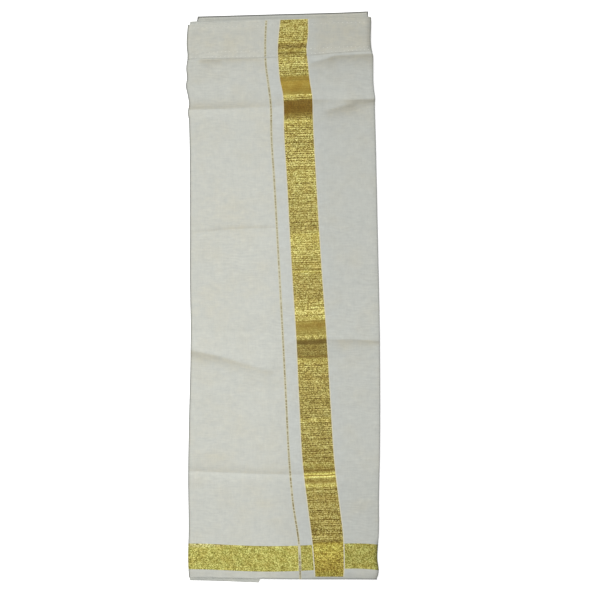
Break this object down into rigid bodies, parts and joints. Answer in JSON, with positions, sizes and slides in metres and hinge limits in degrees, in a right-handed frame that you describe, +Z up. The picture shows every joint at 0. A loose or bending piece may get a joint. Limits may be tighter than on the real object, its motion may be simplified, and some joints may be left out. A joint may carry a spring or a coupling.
{
  "type": "dhoti cloth",
  "caption": "Stitched cotton dhoti folded lengthwise to a long flat strip, with a waistband, a gold zari stripe, a thin gold line and a gold hem border.",
  "frame": {"origin": "centre of the folded cloth's rectangle, on the flat underside it rests on", "axes": "+X to the right as seen from the front face, +Y along the strip towards the waistband, +Z up out of the front face"},
  "size_m": [0.3657, 1.0776, 0.011],
  "materials": {
    "cotton": "thin off-white cotton, plain weave, matt",
    "cotton_band": "the same cotton in three stitched plies, slightly darker",
    "cotton_under": "the same cotton in the plies underneath",
    "zari": "woven gold thread, glittering, with fine cross ribs",
    "zari_hem": "woven greenish gold thread with an even granular glitter"
  },
  "bodies": {
    "root": {"front_panel": "cotton", "waistband": "cotton_band", "hidden_layers": "cotton_under", "zari_stripe": "zari", "zari_line": "zari", "zari_hem_left": "zari_hem", "zari_hem_middle": "zari_hem", "zari_hem_right": "zari_hem"}
  },
  "joints": []
}
